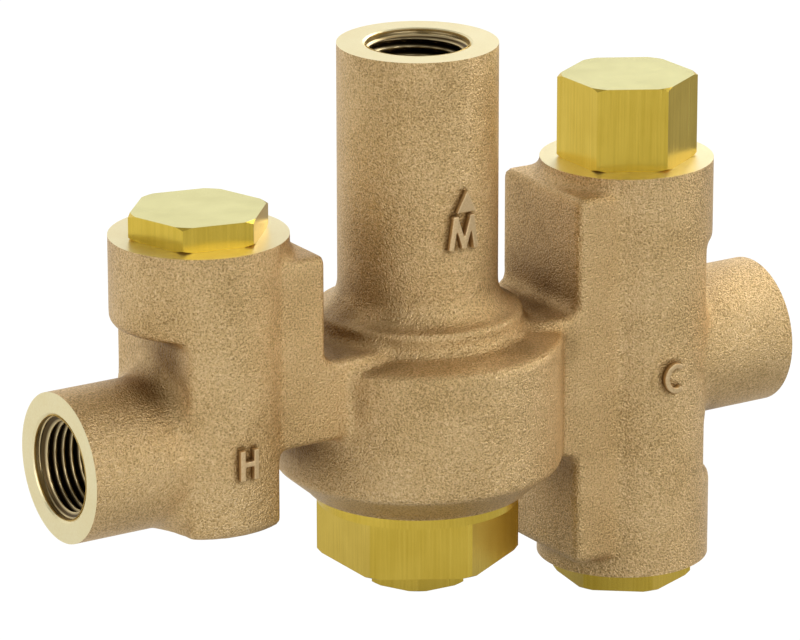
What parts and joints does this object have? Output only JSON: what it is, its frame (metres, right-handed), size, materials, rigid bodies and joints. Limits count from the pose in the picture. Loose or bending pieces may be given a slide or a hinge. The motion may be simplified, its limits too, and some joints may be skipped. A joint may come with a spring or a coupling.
{
  "type": "thermostatic mixing valve",
  "caption": "Cast bronze mixing valve with threaded hot and cold inlets, a mixed outlet on top, hexagon check valve caps and an adjusting stem under a small cover cap.",
  "frame": {"origin": "middle of the mixed outlet's end face", "axes": "+Z out of the outlet, +X from the hot inlet to the cold inlet, +Y to the back"},
  "size_m": [0.1684, 0.0598, 0.1242],
  "materials": {
    "cast_bronze": "matte sand casting, machined on its faces",
    "turned_brass": "satin, fine turning marks",
    "stem_brass": "satin",
    "plated_brass": "satin nickel plating",
    "seat_steel": "satin",
    "spring_steel": "drawn wire",
    "rod_steel": "ground",
    "element_copper": "satin copper",
    "poppet_plastic": "matte",
    "seal_rubber": "matte",
    "gasket_fibre": "matte pressed fibre"
  },
  "bodies": {
    "casing": {"valve_body": "cast_bronze", "hot_check_cap": "turned_brass", "bypass_cap": "turned_brass", "cold_check_plug": "turned_brass", "element_bonnet": "turned_brass", "bonnet_gasket": "gasket_fibre", "stem_cover_cap": "turned_brass", "hot_check_oring": "seal_rubber", "hot_check_seat": "seat_steel", "hot_check_spring": "spring_steel", "cold_check_oring": "seal_rubber", "cold_check_seat": "seat_steel", "cold_check_spring": "spring_steel", "bypass_oring": "seal_rubber", "bypass_seat": "seat_steel", "bypass_spring": "spring_steel", "return_spring": "spring_steel"},
    "stem": {"adjusting_stem": "stem_brass", "stem_oring": "seal_rubber", "stem_ring": "spring_steel"},
    "carrier": {"stem_carrier": "stem_brass", "plunger_ring": "spring_steel", "overtravel_spring": "spring_steel"},
    "plunger": {"overtravel_plunger": "stem_brass", "element_rod": "rod_steel"},
    "shuttle": {"mixing_shuttle": "plated_brass", "shuttle_oring": "seal_rubber", "element_capsule": "element_copper", "element_clip": "spring_steel"},
    "hot_check": {"hot_check_poppet": "poppet_plastic", "hot_check_disc": "seal_rubber"},
    "cold_check": {"cold_check_poppet": "poppet_plastic", "cold_check_disc": "seal_rubber"},
    "bypass": {"bypass_poppet": "poppet_plastic", "bypass_disc": "seal_rubber"}
  },
  "joints": [
    {"name": "stem_turn", "type": "hinge", "parent": "casing", "child": "stem", "pos_m": [0, 0, -0.1001], "axis": [0, 0, 1], "range_deg": [-360, 360]},
    {"name": "carrier_travel", "type": "slide", "parent": "casing", "child": "carrier", "axis": [0, 0, 1], "range_m": [-0.001, 0.001]},
    {"name": "overtravel", "type": "slide", "parent": "carrier", "child": "plunger", "axis": [0, 0, -1], "range_m": [0, 0.0025], "stiffness_N_per_m": 2000, "springref_m": -0.002, "deforming": ["overtravel_spring"]},
    {"name": "shuttle_travel", "type": "slide", "parent": "casing", "child": "shuttle", "axis": [0, 0, 1], "range_m": [-0.00145, 0.00145], "stiffness_N_per_m": 1500, "deforming": ["return_spring"]},
    {"name": "hot_check_lift", "type": "slide", "parent": "casing", "child": "hot_check", "axis": [0, 0, 1], "range_m": [0, 0.004], "stiffness_N_per_m": 100, "springref_m": -0.003, "deforming": ["hot_check_spring"]},
    {"name": "bypass_lift", "type": "slide", "parent": "casing", "child": "bypass", "axis": [0, 0, 1], "range_m": [0, 0.004], "stiffness_N_per_m": 100, "springref_m": -0.003, "deforming": ["bypass_spring"]},
    {"name": "cold_check_lift", "type": "slide", "parent": "casing", "child": "cold_check", "axis": [0, 0, -1], "range_m": [0, 0.004], "stiffness_N_per_m": 100, "springref_m": -0.003, "deforming": ["cold_check_spring"]}
  ],
  "couplings": [
    {"joint": "stem_turn", "follows": "carrier_travel", "rad_per_m": 6283.2}
  ]
}
